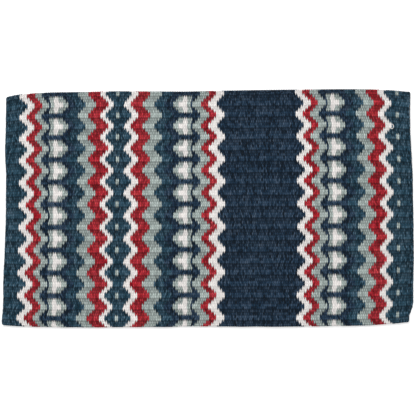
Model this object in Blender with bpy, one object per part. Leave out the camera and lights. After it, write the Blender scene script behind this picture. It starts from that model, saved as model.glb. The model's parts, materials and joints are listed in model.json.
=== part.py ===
"""A handwoven wool saddle blanket, folded once along the horse's spine line and lying flat.

X runs along the warps, from hem to hem. The spine fold lies at +Y and the two side edges at -Y. Z is up, and
the origin is under the middle of the folded blanket. Each colour area of the tapestry weave is wool of its
own and so a piece of its own. The upper half turns about the inner crease of the fold, onto the floor at +Y.
"""

import math

import bmesh
import bpy
from mathutils import Vector

# Driving dimensions
BLANKET_WIDTH = 0.864  # hem to hem, 34 inches
WARP_PITCH = 0.00593  # from one covered warp to the next, which is one rib of the weave
WARPS_PER_HALF = 83
CLOTH_THICKNESS = 0.006
LAYER_GAP = 0.0003  # between the two halves where they lie on each other
YARN_GAP = 0.0004  # between neighbouring colour areas, along X

# The zigzag lines
WARPS_PER_WAVE = 8
SWING = 0.0169  # from a line's left tips to its right tips
LINES_PER_GROUP = 8  # lines that run parallel before the zigzag turns round

# The stepped squares and the weft that passes from one to the next inside the dark ground
SQUARE_WIDTH = 0.0262
SQUARE_HEIGHT = 0.033
SQUARE_POINT = 0.009  # how far the square's point stands out from its body
SQUARE_WALL = 0.0042  # dark ground left between a square and the nearest tip of the line beside it
TIE_WIDTH = 0.006
TIE_THICKNESS = 0.002

# The spine fold and the side edges
LIP_THICKNESS = 0.0008  # where the under half runs out against the roll of the fold
ROLL_STEPS = 5  # facets of the roll on either side of the fold's axis
HOLLOW_STEPS = 3
BEAD_STEPS = 2
CUTTER_OVERRUN = 0.002

# From left to right: the yarn and the area's share of the blanket's width, as the middle of its lines lies
BAND_SHARES = (
    ("teal", 0.0433),
    ("white", 0.0202),
    ("red", 0.0182),
    ("sage", 0.0162),
    ("navy", 0.0888),
    ("sage", 0.0285),
    ("red", 0.0275),
    ("white", 0.0153),
    ("teal", 0.0449),
    ("white", 0.0142),
    ("red", 0.0297),
    ("sage", 0.0301),
    ("navy", 0.0925),
    ("sage", 0.0224),
    ("red", 0.0177),
    ("white", 0.0211),
    ("navy", 0.1911),
    ("white", 0.0195),
    ("red", 0.0172),
    ("sage", 0.0206),
    ("navy", 0.0919),
    ("sage", 0.0280),
    ("red", 0.0269),
    ("white", 0.0161),
    ("teal", 0.0581),
)
# The band that holds each column of squares, and the side of it that the column keeps to, -1 or +1
SQUARE_COLUMNS = ((4, -1), (12, 1), (20, -1))

YARN_COLOURS = {
    "teal": (0.017, 0.045, 0.068),
    "navy": (0.013, 0.026, 0.048),
    "white": (0.78, 0.75, 0.72),
    "red": (0.36, 0.014, 0.024),
    "sage": (0.32, 0.37, 0.35),
}
WOOL_ROUGHNESS = 0.95

# Derived places
WAVE = WARPS_PER_WAVE * WARP_PITCH
FLAT_DEPTH = WARPS_PER_HALF * WARP_PITCH
ROLL_RADIUS = CLOTH_THICKNESS + LAYER_GAP / 2
HOLLOW_RADIUS = ROLL_RADIUS + LAYER_GAP
BEAD_RADIUS = CLOTH_THICKNESS / 2
AXIS_Y = (FLAT_DEPTH - ROLL_RADIUS) / 2
AXIS_Z = ROLL_RADIUS
LAYER_FLOORS = {"lower": 0.0, "upper": CLOTH_THICKNESS + LAYER_GAP}


def clear_scene():
    for obj in list(bpy.data.objects):
        bpy.data.objects.remove(obj, do_unlink=True)


def wool(yarn):
    """The material of one yarn, made once."""
    name = f"{yarn}_wool"
    if name in bpy.data.materials:
        return bpy.data.materials[name]
    material = bpy.data.materials.new(name)
    material.use_nodes = True
    shader = material.node_tree.nodes["Principled BSDF"]
    shader.inputs["Base Color"].default_value = (*YARN_COLOURS[yarn], 1)
    shader.inputs["Roughness"].default_value = WOOL_ROUGHNESS
    shader.inputs["Metallic"].default_value = 0
    return material


def layer_span(half, run):
    """The lowest and highest point of a half at a run, its distance from the fold's axis towards the side edge.

    The run is below zero past the axis, where only the roll of the upper half is."""
    low = LAYER_FLOORS[half]
    high = low + CLOTH_THICKNESS
    from_edge = FLAT_DEPTH - run
    if from_edge < BEAD_RADIUS:
        middle = (low + high) / 2
        reach = math.sqrt(max(BEAD_RADIUS**2 - (BEAD_RADIUS - from_edge) ** 2, 0))
        return middle - reach, middle + reach
    if half == "lower" and run < HOLLOW_RADIUS:
        return low, min(high, AXIS_Z - math.sqrt(HOLLOW_RADIUS**2 - run**2))
    if half == "upper" and run < ROLL_RADIUS:
        reach = math.sqrt(max(ROLL_RADIUS**2 - run**2, 0))
        return min(low, AXIS_Z - reach), AXIS_Z + (reach if run < 0 else ROLL_RADIUS)
    return low, high


def fold_runs(half):
    """Runs of the facets at the fold: the hollow of the lower half, or the roll of the upper half."""
    if half == "upper":
        turns = (math.pi * step / (2 * ROLL_STEPS) for step in range(2 * ROLL_STEPS + 1))
        return [-ROLL_RADIUS * math.cos(turn) for turn in turns]
    lip_turn = math.asin((AXIS_Z - LIP_THICKNESS) / HOLLOW_RADIUS)
    level_turn = math.asin((AXIS_Z - CLOTH_THICKNESS) / HOLLOW_RADIUS)
    step_turn = (lip_turn - level_turn) / HOLLOW_STEPS
    turns = (lip_turn - step_turn * step for step in range(HOLLOW_STEPS + 1))
    return [HOLLOW_RADIUS * math.cos(turn) for turn in turns]


def bead_runs():
    """Runs of the facets that round the side edge."""
    turns = (math.pi * step / (2 * BEAD_STEPS) for step in range(BEAD_STEPS, -1, -1))
    return [FLAT_DEPTH - BEAD_RADIUS * (1 - math.cos(turn)) for turn in turns]


def wave_runs(after, before):
    """Runs of the zigzag's tips between two runs."""
    tips = (tip * WAVE / 2 for tip in range(math.ceil(2 * FLAT_DEPTH / WAVE)))
    return [run for run in tips if after < run < before]


def line_x(line, run):
    """X of a line between two bands. Lines are counted from the left hem, and both hems are straight."""
    shares = [share for _, share in BAND_SHARES]
    x = BLANKET_WIDTH * (sum(shares[:line]) / sum(shares) - 1 / 2)
    if line in (0, len(shares)):
        return x
    group = (line - 1) // LINES_PER_GROUP
    direction = -1 if group % 2 == 0 else 1
    tip, part = divmod(max(run, 0) / (WAVE / 2), 1)
    swing = 1 - 2 * part if tip % 2 == 0 else 2 * part - 1
    return x + direction * swing * SWING / 2


def loft(name, stations):
    """A closed mesh through rectangles, each (run, left, right, low, high)."""
    mesh = bpy.data.meshes.new(name)
    shape = bmesh.new()
    rings = []
    for run, left, right, low, high in stations:
        corners = ((left, low), (right, low), (right, high), (left, high))
        rings.append([shape.verts.new((x, AXIS_Y - run, z)) for x, z in corners])
    for ring, following in zip(rings, rings[1:]):
        for side in range(4):
            after = (side + 1) % 4
            shape.faces.new((ring[side], ring[after], following[after], following[side]))
    shape.faces.new(rings[0][::-1])
    shape.faces.new(rings[-1])
    bmesh.ops.remove_doubles(shape, verts=shape.verts, dist=YARN_GAP / 100)
    bmesh.ops.recalc_face_normals(shape, faces=shape.faces)
    shape.to_mesh(mesh)
    shape.free()
    return mesh


def place(mesh, parent, yarn=None):
    """An object for a mesh made in world coordinates. Its origin goes to its parent empty."""
    mesh.transform(parent.matrix_world.inverted())
    obj = bpy.data.objects.new(mesh.name, mesh)
    obj.parent = parent
    bpy.context.scene.collection.objects.link(obj)
    if yarn:
        mesh.materials.append(wool(yarn))
        mesh.shade_smooth()
        mesh.set_sharp_from_angle(angle=math.radians(35))
    return obj


def empty(name, location):
    obj = bpy.data.objects.new(name, None)
    obj.location = location
    obj.empty_display_size = ROLL_RADIUS
    bpy.context.scene.collection.objects.link(obj)
    bpy.context.view_layer.update()
    return obj


def band(half, number, parent):
    """One colour area of one half, from the fold to the side edge."""
    yarn = BAND_SHARES[number][0]
    fold = fold_runs(half)
    bead = bead_runs()
    runs = sorted(fold + wave_runs(max(fold), min(bead)) + bead)
    inset = YARN_GAP / 2
    last = len(BAND_SHARES) - 1
    stations = []
    for run in runs:
        left = line_x(number, run) + (inset if number > 0 else 0)
        right = line_x(number + 1, run) - (inset if number < last else 0)
        stations.append((run, left, right, *layer_span(half, run)))
    return place(loft(f"{half}_{number + 1:02d}_{yarn}", stations), parent, yarn)


def square_sides(number, side):
    """X of a column's straight side, of its body's other side and of its points."""
    line = number if side < 0 else number + 1
    tips = (line_x(line, 0), line_x(line, WAVE / 2))
    straight = max(tips) + SQUARE_WALL if side < 0 else min(tips) - SQUARE_WALL
    body = straight - side * SQUARE_WIDTH
    return straight, body, body - side * SQUARE_POINT


def square_mesh(name, half, number, side, grow):
    """A column of squares on the weft that ties them. A cutter for it is grown by a clearance."""
    straight, body, point = square_sides(number, side)
    middle_x = (straight + body) / 2
    middle_z = LAYER_FLOORS[half] + CLOTH_THICKNESS / 2
    tie_z = (middle_z - TIE_THICKNESS / 2 - grow, middle_z + TIE_THICKNESS / 2 + grow)
    tie = (middle_x - TIE_WIDTH / 2 - grow, middle_x + TIE_WIDTH / 2 + grow, *tie_z)
    over = CUTTER_OVERRUN if grow else 0
    edge = [FLAT_DEPTH + over] if grow else bead_runs()
    stations = []
    centre = WAVE / 2
    while centre - SQUARE_HEIGHT / 2 < FLAT_DEPTH - BEAD_RADIUS:
        start, stop = centre - SQUARE_HEIGHT / 2 - grow, centre + SQUARE_HEIGHT / 2 + grow
        if stations:
            stations.append((start, *tie))
        for run in sorted({start, centre, stop, *edge}):
            if not start <= run <= min(stop, edge[-1]):
                continue
            reach = 1 - abs(run - centre) / (SQUARE_HEIGHT / 2 + grow)
            other = body + (point - body) * reach
            left, right = sorted((straight + side * grow, other - side * grow))
            low, high = layer_span(half, min(run, FLAT_DEPTH - BEAD_RADIUS) if grow else run)
            stations.append((run, left, right, low - over, high + over))
        if centre + WAVE - SQUARE_HEIGHT / 2 < FLAT_DEPTH - BEAD_RADIUS:
            stations.append((stop, *tie))
        centre += WAVE
    return loft(name, stations)


def squares(half, column, parent, ground):
    """One column of squares, and the openings for it in the dark ground."""
    number, side = SQUARE_COLUMNS[column]
    place(square_mesh(f"{half}_squares_{column + 1}", half, number, side, 0), parent, "sage")
    cutter = place(square_mesh(f"{half}_squares_{column + 1}_cutter", half, number, side, YARN_GAP), parent)
    cutter.hide_render = True
    cutter.display_type = "WIRE"
    opening = ground.modifiers.new("openings for the squares", "BOOLEAN")
    opening.operation = "DIFFERENCE"
    opening.object = cutter


def main():
    clear_scene()
    base = empty("lower_half", Vector((0, 0, 0)))
    hinge = empty("spine_fold_axis", Vector((0, AXIS_Y, AXIS_Z)))
    hinge.parent = base
    for half, parent in (("lower", base), ("upper", hinge)):
        bands = [band(half, number, parent) for number in range(len(BAND_SHARES))]
        for column, (number, _) in enumerate(SQUARE_COLUMNS):
            squares(half, column, parent, bands[number])


main()
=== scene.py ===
"""Looks of the folded saddle blanket: every float of its tapestry weave, in wool, on a pale floor.

The weft runs along Y, over the fold, and covers the warps, which run along X and show as ribs. Where a weft
passes over a rib it makes a float, a lens two ribs long. The floats of neighbouring ribs interleave like
bricks, so a colour boundary is a row of teeth. Lengths are in metres where nothing else is said.
"""

import json
import math

import bpy
import numpy as np
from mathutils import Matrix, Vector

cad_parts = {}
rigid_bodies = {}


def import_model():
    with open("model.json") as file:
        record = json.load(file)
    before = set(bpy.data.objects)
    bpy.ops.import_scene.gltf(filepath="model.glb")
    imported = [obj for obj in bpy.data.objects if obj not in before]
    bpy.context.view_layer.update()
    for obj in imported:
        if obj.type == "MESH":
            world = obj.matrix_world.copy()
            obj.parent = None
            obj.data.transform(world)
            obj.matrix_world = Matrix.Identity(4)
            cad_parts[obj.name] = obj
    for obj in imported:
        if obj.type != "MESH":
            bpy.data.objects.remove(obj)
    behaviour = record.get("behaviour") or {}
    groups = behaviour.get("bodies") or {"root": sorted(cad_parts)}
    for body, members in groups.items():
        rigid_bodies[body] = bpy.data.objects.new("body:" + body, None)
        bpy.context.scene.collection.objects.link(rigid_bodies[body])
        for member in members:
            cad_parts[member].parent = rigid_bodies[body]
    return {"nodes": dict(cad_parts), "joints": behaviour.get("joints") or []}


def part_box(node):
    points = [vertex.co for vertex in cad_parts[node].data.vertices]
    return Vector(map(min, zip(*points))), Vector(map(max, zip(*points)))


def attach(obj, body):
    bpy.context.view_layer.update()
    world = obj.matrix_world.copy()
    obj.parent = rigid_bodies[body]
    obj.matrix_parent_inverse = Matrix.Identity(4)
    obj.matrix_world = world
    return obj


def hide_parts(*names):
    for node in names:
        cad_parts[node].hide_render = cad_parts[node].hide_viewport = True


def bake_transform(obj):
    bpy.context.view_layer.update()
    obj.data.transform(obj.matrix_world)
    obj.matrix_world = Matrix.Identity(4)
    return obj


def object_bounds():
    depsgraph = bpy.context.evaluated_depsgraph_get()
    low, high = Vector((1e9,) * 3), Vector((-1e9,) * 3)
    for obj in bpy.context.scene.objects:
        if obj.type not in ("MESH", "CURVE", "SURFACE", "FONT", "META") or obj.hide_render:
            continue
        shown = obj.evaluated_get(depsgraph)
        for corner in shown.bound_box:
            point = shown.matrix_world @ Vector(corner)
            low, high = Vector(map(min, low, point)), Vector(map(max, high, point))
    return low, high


for leftover in list(bpy.data.objects):
    bpy.data.objects.remove(leftover, do_unlink=True)
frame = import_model()
cad_box = [list(corner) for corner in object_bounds()]

# Camera and photograph
PHOTO_SIZE = 416  # pixels, either side
PIXEL = 0.002118  # length of blanket that a pixel shows
CAMERA_HEIGHT = 8
CAMERA_CENTRE = (-0.0019, 0.0001)
CAMERA_ROLL = math.radians(0.4)
SENSOR = 36  # mm

# The weave
WARPS_PER_HALF = 83
WARPS_PER_WAVE = 8
FOLD_WARPS = 4  # rib spacings round the fold, from the axis above to the axis below
FLOATS_PER_SWING = 4.5  # floats across the zigzag of a line in the CAD model
ROWS_PER_RIB = 4
COLUMNS_PER_FLOAT = 4
TIP_SHARPNESS = 0.95
LEAST_WIDTH = 0.01  # of a float, at its tips, as a share of its greatest one
DIVE = 1.6  # how steeply a float goes down from its rib
FILL = 0.88  # share of the crease-to-crease width that a float's round takes up
RELIEF = 0.0015  # from a float's crest down to the crease between floats
RIM_RELIEF = 0.45  # share of the relief that is left at the hems and side edges
FLOAT_JITTER = 0.12  # how much floats differ in height, as a share of the relief
FLOAT_HEIGHTS = (0.6, 1.25)  # the lowest and the highest, as shares of the relief
CREASE_ANGLE = math.radians(58)
# Where the zigzags turn, every few ribs, the cloth swells, and past that it is pulled in to a furrow
TURN_SPACING = WARPS_PER_WAVE / 2
SWELLING = {"at": -0.5, "reach": 0.95, "height": 0.0006}  # at and reach in ribs
SWELLING_PAINTED_LIGHT = 0.3  # painted light: how much lighter the swellings are painted, as if they lay that much less deep in the painted crease shade
FURROW = {"at": 0.6, "reach": 0.38, "depth": 0.55}  # depth as a share of the relief. The furrow is real, and its floats also take more painted crease shade

# The lines between the colour areas
# A line's place on each rib of a wave, in floats from its left extreme
TEETH = (0, 1.5, 3, 4.5, 5, 3.5, 2, 0.5)
LINES_PER_GROUP = 8
# How far each line strays from where the CAD model has it, in mm, a group to a row
LINE_STRAY = (0.2, -1.2, -0.2, -0.6, 0.8, -1.7, 0.6, -0.8,
              -1.0, 0.4, 0.4, -1.0, 0.2, -0.8, 0.4, -1.2,
              1.5, 0.1, 1.7, 0.6, 0.9, -0.6, 0.2, 0.2)
LINE_MIDDLE = 2.5  # floats from a line's left extreme to the middle of its swing
LEAN = 0.25  # floats that the ribs of a zigzag's flanks lean along X, which makes its tips blunt
LEAN_CHANGE = 2.6  # how suddenly the lean changes at a tip
LEAN_TURNS = 0.65  # share of a band between two groups over which the first group's lean goes on
LEAN_FADE = 0.012  # distance from the hems over which there is less and less lean

# Squares and dots
SQUARE_COLUMNS = ((5, -1), (13, 1), (21, -1))  # the band that holds a column, and the side that it keeps to
# Rows of a square, from the outer ones to the middle ones, in floats from the tips of the line beside them:
# where sage starts and stops, and where white does
SQUARE_ROWS = ((0, 8, 3, 5), (0.5, 9.5, 2.5, 5.5), (1, 11, 3, 8))
TEAL_GROUND = 6  # floats of teal between the navy round the squares and the next line
DOT_COLUMNS = ((9, 6), (25, 7))  # band, and floats from its left line's left extreme
DOT_FLOATS = 2
SPOT_YARNS = {"squares": "sage", "middles": "white", "dots": "sage"}

# Unevenness of the handwork and how the folded blanket lies: (distance, offset) along each edge. Distances
# run from the fold down the hems, and along X for the fold and the side edge
LEFT_HEM = ((0, 0.0036), (0.070, 0.0024), (0.121, 0.0003), (0.172, 0.0025), (0.273, 0.0008),
            (0.324, -0.0015), (0.375, -0.0040), (0.451, -0.0062), (0.477, -0.0089))
RIGHT_HEM_UPPER = ((0, -0.0030), (0.025, -0.0040), (0.076, -0.0043), (0.127, -0.0009), (0.178, 0.0),
                   (0.229, -0.0020), (0.279, -0.0054), (0.406, -0.0073), (0.483, -0.0090))
RIGHT_HEM_LOWER = ((0, -0.0030), (0.025, -0.0040), (0.076, -0.0043), (0.127, -0.0009), (0.178, 0.0010),
                   (0.229, 0.0015), (0.343, 0.0023), (0.407, 0.0011), (0.432, 0.0002), (0.457, 0.0004),
                   (0.475, -0.0100))
FOLD_EDGE = ((-0.432, -0.0140), (-0.424, -0.0100), (-0.415, -0.0078), (-0.377, -0.0046),
             (-0.335, -0.0028), (-0.280, -0.0025), (-0.200, -0.0013), (-0.123, -0.0021),
             (-0.050, -0.0031), (0.020, -0.0017), (0.131, -0.0007), (0.279, -0.0002),
             (0.343, -0.0009), (0.375, -0.0024), (0.406, -0.0044), (0.423, -0.0070))
SIDE_EDGE = ((-0.427, 0.0035), (-0.410, 0.0019), (-0.359, -0.0007), (-0.296, -0.0018),
             (-0.126, -0.0027), (-0.031, -0.0017), (0.064, -0.0029), (0.191, -0.0039),
             (0.339, -0.0024), (0.371, 0.0006), (0.407, 0.0021), (0.420, 0.0035))
EDGE_SMOOTHING = 0.012  # distance over which an edge's bends are rounded off, each way
SHEAR = -0.0078  # how far the pattern drifts along X for each metre down the blanket
FLARE = 0.0125  # the same for a point at the right hem, and against it at the left one
HEM_REACH = 0.09  # how far in a hem's unevenness is felt
RIB_DRIFT = 0.0189  # how far the ribs are pushed up the blanket, for each unit of down * (1 - down) ** 2
RIB_DRIFT_TILT = 0.5  # and how much more of it the left side has than the middle
RIB_SHIFT = 0.0011  # how far down they lie all the same, except at the fold and the side edge
BAND_DRIFT = -0.0013  # how far the bands on the left stray along X
BAND_BOW = 0.0038  # how far those on the right stray from that, halfway down
BAND_BOW_REACH = 0.08  # over how much of X the one goes over in the other
FOLD_BULGE = 0.0015  # how far the fold stands out from a round one
CORNER_RADIUS = 0.006
FREEDOM = 12  # parts of the depth, in the first of which the fold keeps the cloth from straying
WANDER = 0.0005  # how far rows and columns of floats stray
WANDER_LENGTHS = (0.05, 0.06)  # between a stray along X and the next, and the same along Y
SETTLING = 0.07  # share of the height that the layers lose where they lie flattest
SETTLING_LENGTH = 0.16
NOISE_WAVES = 9
NOISE_LENGTHS = (0.7, 1.8)  # of its waves, as shares of its own length
NOISE_PEAK = 1.6  # the waves' sum seldom passes it
SEEDS = {"stray_x": 3, "stray_y": 4, "settling": 5, "lower": 11, "upper": 12, "fold": 13}
JITTER_SEED = 50  # added to a half's own

# The loop of white yarn that has come up out of the cloth near the right hem
LOOP = {
    "middle": (0.3886, 0.1703),
    "reach": (0.0036, 0.0048),  # half its size along X and Y
    "turn": (2.5, 8.2),  # angles at which it leaves the cloth and goes back in
    "rise": 0.0016,
    "yarn": 0.0007,  # radius
}
LOOP_STEPS = 40
LOOP_SIDES = 10

# Yarns: linear colour, how much single floats and whole wefts differ from it, how much of it is lost to
# painted shade in the creases, and how much greyer the lighter floats are
YARNS = {
    "teal": {"colour": (0.0275, 0.082, 0.128), "spread": 0.45, "crease": 0.98, "greying": 0.27},
    "navy": {"colour": (0.015, 0.042, 0.082), "spread": 0.50, "crease": 1.0, "greying": 0.27},
    "white": {"colour": (0.855, 0.82, 0.80), "spread": 0.065, "crease": 0.36, "greying": 0},
    "red": {"colour": (0.45, 0.024, 0.037), "spread": 0.30, "crease": 0.95, "greying": 0.05},
    "sage": {"colour": (0.45, 0.52, 0.50), "spread": 0.16, "crease": 0.80, "greying": 0.2},
}
SINGLE_TONE = 1.5  # how far single floats stray from their weft's tone, each way
WEFT_TONE = 0.27  # how far the wefts' tones stray
WEFT_KEEPS = 0.82  # share of its tone that a weft keeps from one float to the next
WEFT_CHANGES = 0.57  # share of a new tone that it takes on there
# Textures of the wool. Shows is how strongly each shows: in any yarn, and for each unit of a yarn's spread
TEXTURES = {
    "patches": {"scale": 22, "detail": 2, "stretch": (1, 1, 1), "shows": (0, 0.4)},
    "heather": {"scale": 700, "detail": 3, "stretch": (1, 0.35, 1), "shows": (0.2, 1)},
    "fibres": {"scale": 2200, "detail": 4, "stretch": (1, 0.1, 1), "shows": (0.45, 1.6)},
}
PLIES = {"pitch": 0.0026, "slant": (1, 0.55, 0), "wobble": 2.5, "wobble_scale": 1.5, "shows": (0.06, 0.3)}
PLIES_PER_SCALE = 0.628  # scale of a wave texture whose diagonal bands are a metre apart along X
PLIES_SHIFT = 9  # radians by which a float's plies are shifted for each unit of its tone
DARKEST = 0.15  # share of a yarn's colour that is left under the painted shade in the deepest crease
HUE_CHANGE = 0.03
PATCH_GREYING = -0.12
ROUGHNESS = 0.9
FIBRE_ROUGHNESS = 0.15
SPECULAR = 0.1
SHEEN = 0.05
SHEEN_ROUGHNESS = 0.6
BUMP_STRENGTH = 0.8
BUMP_DISTANCE = 0.0011
PLIES_BUMP = 0.45  # against the fibres' one

# Parts of a bake map, as (start, size): across it, and the strips up it for the cloth's upper face, its
# lower face and its inside
MAP_ACROSS = (0.01, 0.98)
MAP_TOP = (0.01, 0.46)
MAP_BOTTOM = (0.49, 0.46)
MAP_INSIDE = (0.97, 0.02)

# Floor and light
FLOOR_REACH = 40  # blanket widths
FLOOR_GREY = 0.86
FLOOR_ROUGHNESS = 0.9
FLOOR_GLOW = 0.35
WORLD_STRENGTH = 0.42
LAMPS = {
    "key": {"place": (-0.5, 1.3, 2.9), "watts": 84, "size": 2.0},
    "fill": {"place": (1.2, -1.2, 2.8), "watts": 22, "size": 2.4},
}

# Derived from the frame
AXIS_Y, AXIS_Z = frame["joints"][0]["pos_m"][1:]
LEFT, FRONT = cad_box[0][:2]
RIGHT, TOP = cad_box[1][0], cad_box[1][2]
WIDTH = RIGHT - LEFT
FLAT_DEPTH = AXIS_Y - FRONT
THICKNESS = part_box("lower_01_teal")[1].z
HALF_THICKNESS = THICKNESS / 2
LAYER_MIDDLES = {"lower": HALF_THICKNESS, "upper": TOP - HALF_THICKNESS}
RIM_LENGTH = math.pi / 2 * HALF_THICKNESS  # of the surface, from where the rounding starts to the rim
RIM_SPARE = RIM_LENGTH - HALF_THICKNESS  # how much longer the surface is than its flat length, at each rim
LEFT_RIM = LEFT - RIM_SPARE
RIGHT_RIM = RIGHT + RIM_SPARE
BAND_NODES = sorted(name for name in frame["nodes"] if name.startswith("lower_") and "squares" not in name)


def line_middle(number):
    """X of the middle of the line between band number and the next."""
    left_band, right_band = BAND_NODES[number - 1], BAND_NODES[number]
    return (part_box(left_band)[1].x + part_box(right_band)[0].x) / 2


LINE_X = [line_middle(number) + stray / 1000 for number, stray in enumerate(LINE_STRAY, 1)]
HALF_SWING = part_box(BAND_NODES[1])[1].x - line_middle(2)
FLOAT_PITCH = 2 * HALF_SWING / FLOATS_PER_SWING


def set_camera():
    data = bpy.data.cameras.new("camera")
    camera = bpy.data.objects.new("camera", data)
    bpy.context.scene.collection.objects.link(camera)
    data.sensor_width = SENSOR
    data.lens = SENSOR * CAMERA_HEIGHT / (PHOTO_SIZE * PIXEL)
    data.clip_start = CAMERA_HEIGHT / 100
    data.clip_end = CAMERA_HEIGHT * 10
    camera.location = (*CAMERA_CENTRE, CAMERA_HEIGHT + TOP)
    camera.rotation_euler = (0, 0, -CAMERA_ROLL)
    bpy.context.scene.camera = camera


def lattice():
    """The left extreme of every line, in whole floats from the left hem, and how many floats there are."""
    extremes = [round((LINE_X[0] - LEFT_RIM) / FLOAT_PITCH - LINE_MIDDLE)]
    for before, x in zip(LINE_X, LINE_X[1:]):
        extremes.append(extremes[-1] + round((x - before) / FLOAT_PITCH))
    across = round(extremes[-1] + LINE_MIDDLE + (RIGHT_RIM - LINE_X[-1]) / FLOAT_PITCH)
    return extremes, across


EXTREMES, FLOATS_ACROSS = lattice()
COLUMNS = FLOATS_ACROSS * COLUMNS_PER_FLOAT


def boundary(number, rib):
    """Where the line between band number and the next crosses a rib, in floats."""
    mirrored = ((number - 1) // LINES_PER_GROUP) % 2
    return EXTREMES[number - 1] + TEETH[(rib + mirrored * WARPS_PER_WAVE // 2) % WARPS_PER_WAVE]


def lean_of(rib):
    """A rib's lean in the first and last group of lines, in floats. Those between lean the other way."""
    return LEAN if rib % WARPS_PER_WAVE < WARPS_PER_WAVE // 2 else -LEAN


def add_squares(owner, middles, rib):
    """Gives a rib's half floats to the columns' teal ground, and to the squares and their white middles."""
    from_middle = abs(rib % WARPS_PER_WAVE - (WARPS_PER_WAVE - 1) / 2)
    row = round(len(SQUARE_ROWS) - 0.5 - from_middle)
    for column, (band, side) in enumerate(SQUARE_COLUMNS, 1):
        inner = boundary(band, rib) if side < 0 else boundary(band - 1, rib)
        low, high = sorted((inner, inner + side * TEAL_GROUND))
        owner[(middles > low) & (middles < high)] = f"ground_{column}_teal"
        # There are none between two squares, nor round the fold, where ribs count down from zero
        if row < 0 or rib < 0:
            continue
        tip = EXTREMES[band - 2] + TEETH[WARPS_PER_WAVE // 2] if side < 0 else EXTREMES[band - 1]
        tip += side * (LEAN + lean_of(rib))
        for kind, reach in (("squares", SQUARE_ROWS[row][:2]), ("middles", SQUARE_ROWS[row][2:])):
            low, high = sorted(tip - side * floats_away for floats_away in reach)
            owner[(middles > low) & (middles < high)] = f"{kind}_{column}"


def areas_on(rib):
    """The name of the area that each half float of a rib belongs to."""
    middles = (np.arange(2 * FLOATS_ACROSS) + 0.5) / 2
    edges = [boundary(number, rib) for number in range(1, len(BAND_NODES))]
    names = np.array([name.split("_", 1)[1] for name in BAND_NODES], dtype=object)
    owner = names[np.searchsorted(edges, middles)]
    add_squares(owner, middles, rib)
    if rib % WARPS_PER_WAVE in (0, WARPS_PER_WAVE - 1):
        for column, (band, start) in enumerate(DOT_COLUMNS, 1):
            low = EXTREMES[band - 2] + start + rib % 2 / 2
            owner[(middles > low) & (middles < low + DOT_FLOATS)] = f"dots_{column}"
    return owner


def yarn_of(area):
    kind, *_, last = area.split("_")
    return SPOT_YARNS.get(kind, last)


def column_places():
    """Distance of every column of vertices along the surface, as the X that it would have on flat cloth."""
    known = [0, *(extreme + LINE_MIDDLE for extreme in EXTREMES), FLOATS_ACROSS]
    return np.interp(np.arange(COLUMNS + 1) / COLUMNS_PER_FLOAT, known, [LEFT_RIM, *LINE_X, RIGHT_RIM])


def leaning(x, place):
    """How far points lean along X, from where they are along X and from their place in ribs."""
    turn = 2 * math.pi * (place + 0.5) / WARPS_PER_WAVE
    along_rib = np.clip(LEAN_CHANGE * np.sin(turn), -1, 1)
    before, after = LINE_X[LINES_PER_GROUP - 1 : LINES_PER_GROUP + 1]
    known = [LEFT, LEFT + LEAN_FADE, before + LEAN_TURNS * (after - before), after]
    known += [LINE_X[-LINES_PER_GROUP - 1], LINE_X[-LINES_PER_GROUP], RIGHT - LEAN_FADE, RIGHT]
    across = np.interp(x, known, [0, 1, 1, -1, -1, 1, 1, 0])
    return LEAN * FLOAT_PITCH * along_rib * across


def noise(seed, x, y, length):
    """Smooth seeded noise from -1 to 1 with bumps about length apart."""
    rng = np.random.default_rng(seed)
    total = np.zeros(np.broadcast(x, y).shape)
    for _ in range(NOISE_WAVES):
        turn, phase = rng.uniform(0, 2 * math.pi, 2)
        pace = 2 * math.pi / (length * rng.uniform(*NOISE_LENGTHS))
        total += np.sin(pace * (x * math.cos(turn) + y * math.sin(turn)) + phase)
    return total / math.sqrt(NOISE_WAVES) / NOISE_PEAK


def along(stations, place):
    """Smooth reading of an edge's (distance, offset) stations."""
    at, offset = np.array(stations).T
    near = np.interp(place - EDGE_SMOOTHING, at, offset) + np.interp(place + EDGE_SMOOTHING, at, offset)
    return (near + 2 * np.interp(place, at, offset)) / 4


def lay(half, x, y, z):
    """Moves flat cloth to how the photographed blanket lies. Both halves agree at the fold."""
    run = AXIS_Y - y
    down = np.clip(run / FLAT_DEPTH, 0, 1)
    across = np.clip(2 * x / WIDTH, -1, 1)
    below_middle = run - FLAT_DEPTH / 2
    near_left = np.clip(1 - (x - LEFT) / HEM_REACH, 0, 1) ** 2
    near_right = np.clip(1 - (RIGHT - x) / HEM_REACH, 0, 1) ** 2
    right_hem = RIGHT_HEM_LOWER if half == "lower" else RIGHT_HEM_UPPER
    bow = BAND_BOW * (0.5 + 0.5 * np.tanh(x / BAND_BOW_REACH)) * np.sin(math.pi * down)
    new_x = x + (SHEAR + FLARE * across) * below_middle
    new_x += (BAND_DRIFT + bow) * (1 - near_left) * (1 - near_right)
    new_x += near_left * (along(LEFT_HEM, run) - (SHEAR - FLARE) * below_middle)
    new_x += near_right * (along(right_hem, run) - (SHEAR + FLARE) * below_middle)
    new_y = y + along(FOLD_EDGE, x) * (1 - down) ** 2 + along(SIDE_EDGE, x) * down**3
    new_y += RIB_DRIFT * down * (1 - down) ** 2 * (1 - RIB_DRIFT_TILT * across)
    new_y -= RIB_SHIFT * (1 - (2 * down - 1) ** 8)
    loose = np.clip(down * FREEDOM, 0, 1)
    new_x += WANDER * noise(SEEDS["stray_x"], x, y, WANDER_LENGTHS[0]) * loose
    new_y += WANDER * noise(SEEDS["stray_y"], x, y, WANDER_LENGTHS[1]) * loose
    settled = 0.5 + 0.5 * noise(SEEDS["settling"], x, y, SETTLING_LENGTH)
    return new_x, new_y, z * (1 - SETTLING * settled * loose)


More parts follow.
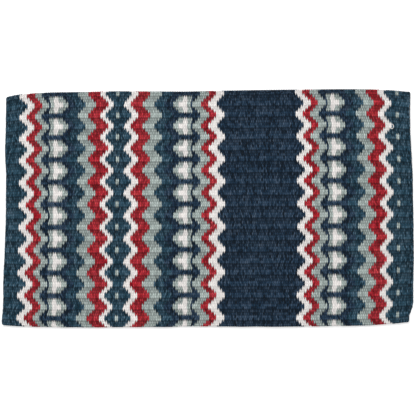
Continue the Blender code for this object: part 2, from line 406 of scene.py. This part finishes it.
def round_corner(x, y):
    """Pulls the square corners at the side edge in to a curve."""
    in_x = np.clip((np.abs(x) - (WIDTH / 2 - CORNER_RADIUS)) / CORNER_RADIUS, 0, 1)
    in_y = np.clip(((FRONT + CORNER_RADIUS) - y) / CORNER_RADIUS, 0, 1)
    shift_x = in_x * (1 - np.sqrt(1 - in_y**2 / 2)) * CORNER_RADIUS
    shift_y = in_y * (1 - np.sqrt(1 - in_x**2 / 2)) * CORNER_RADIUS
    return x - np.sign(x) * shift_x, y + shift_y


def rim_turn(distance):
    """Angle of the surface's slope round a rim, from the distance along the surface to the rim's middle."""
    return np.clip((RIM_LENGTH - distance) / HALF_THICKNESS, 0, math.pi / 2)


def floats(count):
    """Rib, place in ribs, and height of a grid's vertices, from the middle of rib 0 to that of rib count."""
    step = np.arange(count * ROWS_PER_RIB + 1) + ROWS_PER_RIB // 2
    rib = step // ROWS_PER_RIB
    across_rib = 2 * (step % ROWS_PER_RIB) / ROWS_PER_RIB - 1
    column = np.arange(COLUMNS + 1) / COLUMNS_PER_FLOAT
    u = 2 * ((column + (rib[:, None] % 2) / 2) % 1) - 1
    reach = (1 + TIP_SHARPNESS * (1 - 2 * np.abs(u))) / 2
    v = across_rib[:, None] * reach
    half_width = np.clip((1 + TIP_SHARPNESS - 2 * np.abs(v)) / (2 * TIP_SHARPNESS), LEAST_WIDTH, 1)
    hump = (1 - v**2) ** DIVE * np.sqrt(1 - np.clip(np.abs(u) / (half_width * FILL), 0, 1) ** 2)
    hump[across_rib == -1] = 0
    return rib, rib[:, None] + v, hump


def near_turn(place, form):
    """How much of a swelling or furrow there is at a place, given in ribs: 1 in its middle."""
    away = (place - form["at"] + TURN_SPACING / 2) % TURN_SPACING - TURN_SPACING / 2
    return np.exp(-((away / form["reach"]) ** 2))


def quad_facts(seed, pattern):
    """The area and the tone of every quad. The pattern says which rib of the blanket each rib follows."""
    ribs = len(pattern)
    step = np.arange((ribs - 1) * ROWS_PER_RIB) + ROWS_PER_RIB // 2
    rib = step // ROWS_PER_RIB
    number = (np.arange(COLUMNS) + (rib[:, None] % 2) * COLUMNS_PER_FLOAT // 2) // COLUMNS_PER_FLOAT
    areas = np.stack([np.repeat(areas_on(followed), COLUMNS_PER_FLOAT // 2) for followed in pattern])
    return areas[rib], tones(seed, ribs)[rib[:, None], number]


def tones(seed, ribs):
    """A tone for every float, -1 to 1 or so. Each weft has its own, which changes along it."""
    rng = np.random.default_rng(seed)
    single = rng.uniform(-SINGLE_TONE, SINGLE_TONE, (ribs, FLOATS_ACROSS + 1))
    weft = rng.normal(0, 1, (ribs, FLOATS_ACROSS + 1))
    for rib in range(2, ribs):
        weft[rib] = WEFT_KEEPS * weft[rib - 2] + WEFT_CHANGES * weft[rib]
    return single + WEFT_TONE * weft


class Cloth:
    """A grid of vertices for both faces of one part of the cloth, with the area and tone of every quad."""

    def __init__(self, top, bottom, depth, quad_area, quad_tone, closed_below):
        self.points = np.concatenate([top.reshape(-1, 3), bottom.reshape(-1, 3)])
        self.depth = np.concatenate([depth.ravel(), depth.ravel()])
        self.top = np.arange(depth.size).reshape(depth.shape)
        self.bottom = self.top + depth.size
        self.bottom[:, 0] = self.top[:, 0]
        self.bottom[:, -1] = self.top[:, -1]
        if closed_below:
            self.bottom[-1] = self.top[-1]
        self.quad_area = quad_area
        self.quad_tone = quad_tone

    def piece(self, area):
        """Faces of an area's closed mesh: above, below, and walls where it ends inside the cloth."""
        mine = self.quad_area == area
        row, column = np.nonzero(mine)
        after, beside = row + 1, column + 1
        faces = []
        for grid in (self.top, self.bottom):
            quad = [grid[row, column], grid[after, column], grid[after, beside], grid[row, beside]]
            faces.append(np.stack(quad if grid is self.top else quad[::-1], 1))
        tone = self.quad_tone[row, column]
        padded = np.pad(mine, 1)
        sides = (
            (padded[1:-1, :-2], (0, 0), (1, 0)),
            (padded[1:-1, 2:], (1, 1), (0, 1)),
            (padded[:-2, 1:-1], (0, 1), (0, 0)),
            (padded[2:, 1:-1], (1, 0), (1, 1)),
        )
        walls = []
        for neighbour, start, stop in sides:
            r, c = np.nonzero(mine & ~neighbour)
            a, b = (r + start[0], c + start[1]), (r + stop[0], c + stop[1])
            wall = np.stack([self.top[b], self.top[a], self.bottom[a], self.bottom[b]], 1)
            real = (self.top[a] != self.bottom[a]) | (self.top[b] != self.bottom[b])
            walls.append(wall[real])
        return faces, np.concatenate(walls), np.concatenate([tone, tone])


def make_mesh(name, cloth, area):
    faces, walls, tone = cloth.piece(area)
    # A wall that ends at a rim has two of its corners in one point there
    pointed = (walls == np.roll(walls, 1, 1)).any(1)
    quads = np.concatenate([*faces, walls[~pointed]])
    triangles = [list(dict.fromkeys(wall.tolist())) for wall in walls[pointed]]
    triangles = np.array(triangles, int).reshape(-1, 3)
    used, inverse = np.unique(np.concatenate([quads.ravel(), triangles.ravel()]), return_inverse=True)
    starts = np.concatenate([np.arange(len(quads)) * 4, quads.size + np.arange(len(triangles)) * 3])
    mesh = bpy.data.meshes.new(name)
    mesh.vertices.add(len(used))
    mesh.vertices.foreach_set("co", cloth.points[used].ravel())
    mesh.loops.add(len(inverse))
    mesh.loops.foreach_set("vertex_index", inverse)
    mesh.polygons.add(len(starts))
    mesh.polygons.foreach_set("loop_start", starts)
    mesh.update(calc_edges=True)
    mesh.validate()
    face_tone = np.zeros(len(mesh.polygons))
    face_tone[: len(tone)] = tone
    mesh.attributes.new("tone", "FLOAT", "FACE").data.foreach_set("value", face_tone)
    # depth: how deep in a crease each point lies, which the wool's material turns into painted shade
    mesh.attributes.new("depth", "FLOAT", "POINT").data.foreach_set("value", cloth.depth[used])
    bake_map(mesh, cloth.points[used], faces[0].size, faces[1].size)
    mesh.shade_smooth()
    mesh.set_sharp_from_angle(angle=CREASE_ANGLE)
    return mesh


def bake_map(mesh, points, top_loops, bottom_loops):
    """A map for baked textures: one face of the cloth beside the other, and its inside in a thin strip."""
    lowest, highest = points[:, :2].min(0), points[:, :2].max(0)
    place = (points[:, :2] - lowest) / (highest - lowest)
    vertex = np.zeros(len(mesh.loops), int)
    mesh.loops.foreach_get("vertex_index", vertex)
    uv = place[vertex]
    inside = top_loops + bottom_loops
    parts = (
        (slice(None), 0, MAP_ACROSS),
        (slice(top_loops), 1, MAP_TOP),
        (slice(top_loops, inside), 1, MAP_BOTTOM),
        (slice(inside, None), 1, MAP_INSIDE),
    )
    for loops, direction, (start, size) in parts:
        uv[loops, direction] = start + size * uv[loops, direction]
    mesh.uv_layers.new(name="OFBake").data.foreach_set("uv", uv.ravel())


def half_cloth(half):
    """One half of the blanket, from the fold's axis to the side edge."""
    rib, place, hump = floats(WARPS_PER_HALF)
    rng = np.random.default_rng(SEEDS[half] + JITTER_SEED)
    jitter = rng.normal(0, 1, (WARPS_PER_HALF + 1, FLOATS_ACROSS + 1))
    float_of_column = np.arange(COLUMNS + 1) // COLUMNS_PER_FLOAT
    height = np.clip(1 + FLOAT_JITTER * jitter[rib][:, float_of_column], *FLOAT_HEIGHTS)
    # Lowers the floats in the furrow, which also deepens their painted crease shade
    hump *= 1 - FURROW["depth"] * near_turn(place, FURROW)
    swelling = near_turn(place, SWELLING)
    along_x = column_places() + leaning(column_places(), place)
    length = FLAT_DEPTH + RIM_SPARE
    along_y = place / WARPS_PER_HALF * length
    turn_x = rim_turn(np.minimum(along_x - along_x[0, 0], along_x[0, -1] - along_x))
    turn_y = rim_turn(length - along_y)
    side = np.where(along_x < 0, -1, 1)
    rim = np.maximum(np.sin(turn_x), np.sin(turn_y))
    drop = RELIEF * (1 - hump * height) * (1 - (1 - RIM_RELIEF) * rim)
    drop += SWELLING["height"] * (1 - swelling) * (1 - rim)
    radius = HALF_THICKNESS - np.maximum(drop, 0)
    x = np.clip(along_x, LEFT + HALF_THICKNESS, RIGHT - HALF_THICKNESS) + side * radius * np.sin(turn_x)
    y = AXIS_Y - np.minimum(along_y, FLAT_DEPTH - HALF_THICKNESS) - radius * np.sin(turn_y)
    rise = radius * np.cos(turn_x) * np.cos(turn_y)
    x, y = round_corner(x, y)
    faces = [np.stack(lay(half, x, y, LAYER_MIDDLES[half] + sign * rise), -1) for sign in (1, -1)]
    facts = quad_facts(SEEDS[half], range(WARPS_PER_HALF + 1))
    # Depth for the painted crease shade; the swellings get less of it, which is painted light on them
    return Cloth(*faces, 1 - hump - SWELLING_PAINTED_LIGHT * swelling, *facts, closed_below=True)


def fold_cloth():
    """The cloth that turns round the fold, from above the axis to below it."""
    _, place, hump = floats(FOLD_WARPS)
    half_turn = FOLD_WARPS / 2
    along_x = column_places() + leaning(column_places(), np.abs(half_turn - place) - half_turn)
    turn_x = rim_turn(np.minimum(along_x - along_x[0, 0], along_x[0, -1] - along_x))
    side = np.where(along_x < 0, -1, 1)
    angle = place / FOLD_WARPS * math.pi
    rim = np.maximum(np.sin(turn_x), np.sin(angle))
    radius = HALF_THICKNESS - RELIEF * (1 - hump) * (1 - (1 - RIM_RELIEF) * rim)
    x = np.clip(along_x, LEFT + HALF_THICKNESS, RIGHT - HALF_THICKNESS) + side * radius * np.sin(turn_x)
    stretch = 1 + FOLD_BULGE / THICKNESS
    faces = []
    for sign in (1, -1):
        reach = AXIS_Z - HALF_THICKNESS + sign * radius * np.cos(turn_x)
        y = AXIS_Y + stretch * reach * np.sin(angle)
        faces.append(np.stack(lay("fold", x, y, AXIS_Z + reach * np.cos(angle)), -1))
    pattern = [abs(FOLD_WARPS // 2 - rib) - FOLD_WARPS // 2 for rib in range(FOLD_WARPS + 1)]
    # 1 - hump is how deep in a crease each point lies, for the painted crease shade
    return Cloth(*faces, 1 - hump, *quad_facts(SEEDS["fold"], pattern), closed_below=False)


class Shading:
    """A new material, with short calls that add nodes to it."""

    def __init__(self, name):
        self.material = bpy.data.materials.new(name)
        self.material.use_nodes = True
        self.nodes = self.material.node_tree.nodes
        self.inputs = self.nodes["Principled BSDF"].inputs

    def node(self, kind, **settings):
        made = self.nodes.new(kind)
        for key, value in settings.items():
            setattr(made, key, value)
        return made

    def link(self, source, socket):
        self.material.node_tree.links.new(source, socket)

    def maths(self, operation, *values):
        made = self.node("ShaderNodeMath", operation=operation)
        for socket, value in zip(made.inputs, values):
            if isinstance(value, (int, float)):
                socket.default_value = value
            else:
                self.link(value, socket)
        return made.outputs[0]

    def attribute(self, name):
        return self.node("ShaderNodeAttribute", attribute_name=name).outputs["Fac"]

    def place(self, stretch):
        """Places on the object, stretched."""
        mapping = self.node("ShaderNodeMapping")
        mapping.inputs["Scale"].default_value = stretch
        self.link(self.node("ShaderNodeTexCoord").outputs["Object"], mapping.inputs["Vector"])
        return mapping.outputs[0]

    def noise(self, scale, detail, stretch):
        """Noise from -0.5 to 0.5."""
        made = self.node("ShaderNodeTexNoise")
        made.inputs["Scale"].default_value = scale
        made.inputs["Detail"].default_value = detail
        self.link(self.place(stretch), made.inputs["Vector"])
        return self.maths("SUBTRACT", made.outputs[0], 0.5)

    def plies(self, tone):
        """Slanting bands across every float, where the plies of its yarn show, from -0.5 to 0.5."""
        made = self.node("ShaderNodeTexWave", bands_direction="DIAGONAL")
        made.inputs["Scale"].default_value = PLIES_PER_SCALE / PLIES["pitch"]
        made.inputs["Distortion"].default_value = PLIES["wobble"]
        made.inputs["Detail Scale"].default_value = PLIES["wobble_scale"]
        self.link(self.place(PLIES["slant"]), made.inputs["Vector"])
        self.link(self.maths("MULTIPLY", tone, PLIES_SHIFT), made.inputs["Phase Offset"])
        return self.maths("SUBTRACT", made.outputs["Fac"], 0.5)


def wool(yarn):
    """A weft yarn: handspun wool, uneven in colour, darker in the creases with painted shade, with fibres
    along the float.
    """
    name = f"{yarn}_wool_yarn"
    if name in bpy.data.materials:
        return bpy.data.materials[name]
    shading = Shading(name)
    maths, inputs = shading.maths, shading.inputs
    facts = YARNS[yarn]
    tone = shading.attribute("tone")
    parts = {}
    for kind, form in TEXTURES.items():
        parts[kind] = shading.noise(form["scale"], form["detail"], form["stretch"])
    parts["plies"] = shading.plies(tone)

    value = maths("MULTIPLY_ADD", tone, facts["spread"], 1)
    for kind, form in (*TEXTURES.items(), ("plies", PLIES)):
        always, by_spread = form["shows"]
        value = maths("MULTIPLY_ADD", parts[kind], always + by_spread * facts["spread"], value)
    # Painted shade: the colour is darkened as far as the point lies down in a crease
    shade = maths("MULTIPLY_ADD", shading.attribute("depth"), -facts["crease"], 1)
    grey = maths("MULTIPLY_ADD", value, -facts["greying"], 1 + facts["greying"])
    colour = shading.node("ShaderNodeVectorMath", operation="SCALE")
    colour.inputs[0].default_value = facts["colour"]
    shading.link(maths("MAXIMUM", maths("MULTIPLY", value, shade), DARKEST), colour.inputs["Scale"])
    hue = shading.node("ShaderNodeHueSaturation")
    shading.link(maths("MULTIPLY_ADD", parts["heather"], HUE_CHANGE, 0.5), hue.inputs["Hue"])
    shading.link(maths("MULTIPLY_ADD", parts["patches"], PATCH_GREYING, grey), hue.inputs["Saturation"])
    shading.link(colour.outputs[0], hue.inputs["Color"])
    shading.link(hue.outputs[0], inputs["Base Color"])

    shading.link(maths("MULTIPLY_ADD", parts["fibres"], FIBRE_ROUGHNESS, ROUGHNESS), inputs["Roughness"])
    inputs["Specular IOR Level"].default_value = SPECULAR
    inputs["Sheen Weight"].default_value = SHEEN
    inputs["Sheen Roughness"].default_value = SHEEN_ROUGHNESS
    bump = shading.node("ShaderNodeBump")
    bump.inputs["Strength"].default_value = BUMP_STRENGTH
    bump.inputs["Distance"].default_value = BUMP_DISTANCE
    shading.link(maths("MULTIPLY_ADD", parts["plies"], PLIES_BUMP, parts["fibres"]), bump.inputs["Height"])
    shading.link(bump.outputs[0], inputs["Normal"])
    return shading.material


def add_piece(name, mesh, yarn):
    obj = bpy.data.objects.new(name, mesh)
    bpy.context.scene.collection.objects.link(obj)
    mesh.materials.append(wool(yarn))
    return obj


def weave(part, cloth):
    """A piece for every area of a part of the cloth, by the area's name."""
    pieces = {}
    for area in sorted(set(cloth.quad_area.ravel())):
        name = f"{part}_{area}_weave"
        pieces[area] = add_piece(name, make_mesh(name, cloth, area), yarn_of(area))
    return pieces


def weave_half(half):
    pieces = weave(half, half_cloth(half))
    for area, obj in pieces.items():
        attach(obj, f"{half}_half")
        node = f"{half}_{area}"
        if node in frame["nodes"]:
            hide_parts(node)
    return pieces


def weave_fold():
    for obj in weave("fold", fold_cloth()).values():
        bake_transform(obj)


def add_loop():
    """A loop of white yarn that has come up out of the upper half, with both its ends in the cloth."""
    turn = np.linspace(*LOOP["turn"], LOOP_STEPS + 1)
    rise = np.sin(np.linspace(0, math.pi, LOOP_STEPS + 1))
    centre = np.stack([
        LOOP["middle"][0] + LOOP["reach"][0] * np.cos(turn),
        LOOP["middle"][1] + LOOP["reach"][1] * np.sin(turn),
        TOP - 2 * LOOP["yarn"] + LOOP["rise"] * rise,
    ], -1)
    out = np.stack([np.cos(turn), np.sin(turn), np.zeros(LOOP_STEPS + 1)], -1)
    side = np.linspace(0, 2 * math.pi, LOOP_SIDES, endpoint=False)
    ring = out[:, None] * np.cos(side)[:, None] + np.array([0, 0, 1]) * np.sin(side)[:, None]
    points = (centre[:, None] + LOOP["yarn"] * ring).reshape(-1, 3)
    faces = []
    for step in range(LOOP_STEPS):
        a, b = step * LOOP_SIDES, (step + 1) * LOOP_SIDES
        for corner in range(LOOP_SIDES):
            after = (corner + 1) % LOOP_SIDES
            faces.append((a + corner, b + corner, b + after, a + after))
    faces.append(tuple(range(LOOP_SIDES)))
    faces.append(tuple(LOOP_STEPS * LOOP_SIDES + corner for corner in reversed(range(LOOP_SIDES))))
    mesh = bpy.data.meshes.new("stray_loop")
    mesh.from_pydata(points.tolist(), [], faces)
    mesh.shade_smooth()
    loop = add_piece("stray_loop", mesh, "white")
    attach(loop, "upper_half")
    return loop


def node_width(name):
    low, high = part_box(name)
    return high.x - low.x


def declare():
    """Finds the area of the widest band, the sheet's; nothing is done with it."""
    area = max(BAND_NODES, key=node_width).split("_", 1)[1]


def pale_floor():
    """Material that is white to the camera and to reflections, and keeps the blanket's shadow."""
    shading = Shading("pale_floor")
    path = shading.node("ShaderNodeLightPath").outputs
    seen = shading.maths("MAXIMUM", path["Is Camera Ray"], path["Is Glossy Ray"])
    shading.inputs["Base Color"].default_value = (FLOOR_GREY, FLOOR_GREY, FLOOR_GREY, 1)
    shading.inputs["Roughness"].default_value = FLOOR_ROUGHNESS
    shading.inputs["Specular IOR Level"].default_value = 0
    shading.inputs["Emission Color"].default_value = (1, 1, 1, 1)
    shading.link(shading.maths("MULTIPLY", seen, FLOOR_GLOW), shading.inputs["Emission Strength"])
    return shading.material


def add_floor():
    mesh = bpy.data.meshes.new("floor")
    size = FLOOR_REACH * WIDTH
    corners = [(-size, -size, 0), (size, -size, 0), (size, size, 0), (-size, size, 0)]
    mesh.from_pydata(corners, [], [(0, 1, 2, 3)])
    mesh.materials.append(pale_floor())
    floor = bpy.data.objects.new("floor", mesh)
    bpy.context.scene.collection.objects.link(floor)


def add_light():
    world = bpy.data.worlds.new("studio")
    bpy.context.scene.world = world
    world.use_nodes = True
    background = world.node_tree.nodes["Background"].inputs
    background["Color"].default_value = (1, 1, 1, 1)
    background["Strength"].default_value = WORLD_STRENGTH
    for name, facts in LAMPS.items():
        data = bpy.data.lights.new(name, "AREA")
        data.energy = facts["watts"]
        data.size = facts["size"]
        lamp = bpy.data.objects.new(name, data)
        bpy.context.scene.collection.objects.link(lamp)
        lamp.location = facts["place"]
        lamp.rotation_euler = (-lamp.location).to_track_quat("-Z", "Y").to_euler()


bpy.context.scene.view_settings.view_transform = "Standard"
set_camera()
lower = weave_half("lower")
upper = weave_half("upper")
upper["stray_loop"] = add_loop()
weave_fold()
declare()
declare()
add_floor()
add_light()
bpy.context.view_layer.update()
